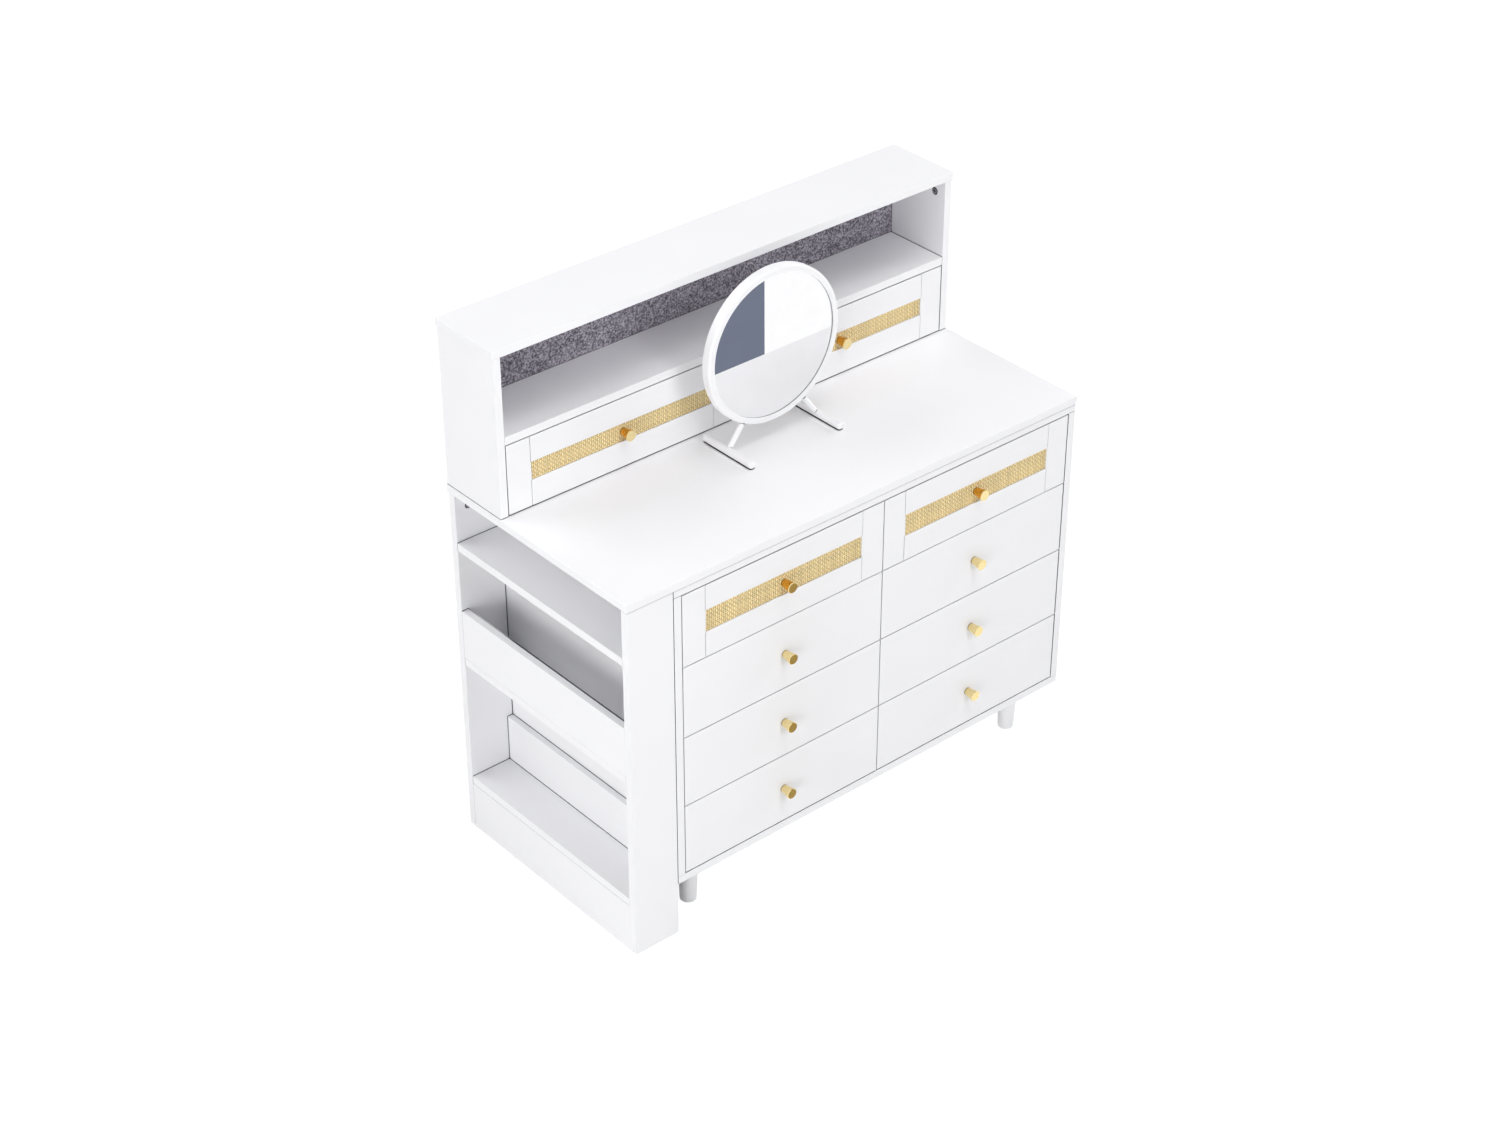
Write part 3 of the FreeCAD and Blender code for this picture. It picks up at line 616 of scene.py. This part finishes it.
def felt_lining():
    """A pressed sheet with a slightly uneven face, glued to the hutch's back."""
    low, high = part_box("hutch_felt")
    left, right = low.x + FELT_INSET, high.x - FELT_INSET
    bottom, top = low.z + FELT_INSET, high.z - FELT_INSET
    columns = round((right - left) / FELT_GRID)
    rows = round((top - bottom) / FELT_GRID)
    points = []
    for row in range(rows + 1):
        for column in range(columns + 1):
            x = left + (right - left) * column / columns
            z = bottom + (top - bottom) * row / rows
            points.append((x, low.y + felt_face(x, z), z))
    across = columns + 1
    faces = [(i, i + 1, i + 1 + across, i + across)
             for row in range(rows) for i in range(row * across, row * across + columns)]
    rim = (list(range(across))
           + [row * across + columns for row in range(1, rows + 1)]
           + [rows * across + column for column in range(columns - 1, -1, -1)]
           + [row * across for row in range(rows - 1, 0, -1)])
    count = len(points)
    points.extend((points[i][0], high.y, points[i][2]) for i in rim)
    for here in range(len(rim)):
        after = (here + 1) % len(rim)
        faces.append((rim[after], rim[here], count + here, count + after))
    faces.append(tuple(range(count + len(rim) - 1, count - 1, -1)))
    mesh = bpy.data.meshes.new("felt_lining")
    mesh.from_pydata(points, [], faces)
    mesh.materials.append(felt("felt_finish", *FELT))
    mesh.update()
    item = place_in_scene("felt_lining", mesh)
    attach(item, "carcass")
    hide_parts("hutch_felt")


felt_lining()


# Stage: a white floor that keeps a faint shadow, and cards that only the mirror and the metal see
FLOOR_SIZE = 14
FLOOR_LEVEL = -4 * MM
FLOOR_GLOW = 0.97
FLOOR_SHADOW = 0.12
FLOOR_BOUNCE = 0.8
# Each card's place in front, left and right edge, lower and upper edge, and colour
CARDS = {
    "mirror_card": (-0.62, (0.36, 0.529), (0.4, 0.69), MIRROR_CARD),
    "knob_card": (-0.4, (-0.14, 0.1), (0, 0.56), KNOB_CARD),
}


def flat_quad(name, corners, material):
    mesh = bpy.data.meshes.new(name)
    mesh.from_pydata(corners, [], [(0, 1, 2, 3)])
    mesh.materials.append(material)
    item = place_in_scene(name, mesh)
    return item


def direct_ray(tree):
    """1 for rays from the camera, off gloss and through glass, otherwise 0."""
    path = add(tree, "ShaderNodeLightPath").outputs
    first = combine(tree, "MAXIMUM", path["Is Camera Ray"], path["Is Glossy Ray"])
    return combine(tree, "MAXIMUM", first, path["Is Transmission Ray"])


def floor_material():
    """A glow with a faint shadow where the floor is seen, and plain white for the light it returns."""
    material = bpy.data.materials.new("floor")
    tree = emptied_tree(material)
    glow = add(tree, "ShaderNodeEmission", {"Strength": FLOOR_GLOW})
    shadow = add(tree, "ShaderNodeBsdfDiffuse", {"Color": (*grey(FLOOR_SHADOW), 1)})
    seen = add(tree, "ShaderNodeAddShader", {0: glow.outputs[0], 1: shadow.outputs[0]})
    bounce = add(tree, "ShaderNodeBsdfDiffuse", {"Color": (*grey(FLOOR_BOUNCE), 1)})
    mixed = add(tree, "ShaderNodeMixShader", {
        0: direct_ray(tree), 1: bounce.outputs[0], 2: seen.outputs[0]})
    add(tree, "ShaderNodeOutputMaterial", {"Surface": mixed.outputs[0]})
    return material


def card_material(name, colour):
    material = bpy.data.materials.new(name)
    tree = emptied_tree(material)
    glow = add(tree, "ShaderNodeEmission", {"Color": (*colour, 1), "Strength": 1.0})
    add(tree, "ShaderNodeOutputMaterial", {"Surface": glow.outputs[0]})
    return material


def floor():
    half = FLOOR_SIZE / 2
    outline = ((-half, -half), (half, -half), (half, half), (-half, half))
    flat_quad("floor", [(x, y, FLOOR_LEVEL) for x, y in outline], floor_material())


def card(name, place, across, upright, colour):
    """A card in front of the table that only reflections show."""
    corners = [(across[0], place, upright[0]), (across[0], place, upright[1]),
               (across[1], place, upright[1]), (across[1], place, upright[0])]
    item = flat_quad(name, corners, card_material(name, colour))
    item.visible_camera = False
    item.visible_diffuse = False
    item.visible_shadow = False
    item.visible_transmission = False


floor()
for name, settings in CARDS.items():
    card(name, *settings)


# Light: an even white surround and large soft lamps
AMBIENT = 0.03
LAMP_AIM = (0, 0, 0.55)
# Each lamp's place, width and power
LAMPS = {
    "left_front_lamp": ((-3.43, -2.02, 0.95), 2.3, 60),
    "left_lamp": ((-3.97, 0, 1.03), 2.0, 17),
    "left_top_lamp": ((-2.82, -0.4, 3.37), 2.0, 9.5),
    "back_left_lamp": ((-2.01, 2.01, 3.36), 2.6, 58),
    "front_lamp": ((0, -3.69, 2.1), 1.6, 30),
    "front_middle_lamp": ((0, -3.28, 2.84), 1.6, 18),
    "front_high_lamp": ((0, -2.27, 3.84), 1.6, 14.3),
    "front_top_lamp": ((0, -1.04, 4.41), 1.8, 30.5),
    "right_lamp": ((3.83, 0, 1.7), 3.0, 53),
    "right_front_lamp": ((3.68, -1.1, 1.66), 2.0, 38),
    "right_back_lamp": ((3.32, 1.0, 2.54), 2.0, 17),
    "top_lamp": ((0, 0, 4.55), 2.6, 22),
}


def world_light():
    """White to the rays that see it, and faint as a light."""
    world = bpy.data.worlds.new("surround")
    bpy.context.scene.world = world
    tree = emptied_tree(world)
    strength = spread(tree, direct_ray(tree), low=AMBIENT, high=1.0)
    surround = add(tree, "ShaderNodeBackground", {"Color": (1, 1, 1, 1), "Strength": strength})
    add(tree, "ShaderNodeOutputWorld", {"Surface": surround.outputs[0]})


def lamp(name, place, width, power):
    light = bpy.data.lights.new(name, "AREA")
    light.shape = "DISK"
    light.size = width
    light.energy = power
    item = place_in_scene(name, light)
    item.location = place
    item.rotation_euler = (Vector(LAMP_AIM) - Vector(place)).to_track_quat("-Z", "Y").to_euler()
    item.visible_glossy = False


world_light()
for name, settings in LAMPS.items():
    lamp(name, *settings)


# Camera: the photograph's place, direction and field of view
CAMERA_PLACE = (-2.7491, -3.1436, 3.1912)
CAMERA_DIRECTION = (0.5452, 0.6354, -0.5469)
CAMERA_LENS = 68.9
CAMERA_SENSOR = 36


def camera():
    data = bpy.data.cameras.new("camera")
    data.sensor_fit = "HORIZONTAL"
    data.sensor_width = CAMERA_SENSOR
    data.lens = CAMERA_LENS
    item = place_in_scene("camera", data)
    item.location = CAMERA_PLACE
    item.rotation_euler = Vector(CAMERA_DIRECTION).to_track_quat("-Z", "Y").to_euler()
    bpy.context.scene.camera = item


camera()
bpy.context.scene.view_settings.view_transform = "Standard"
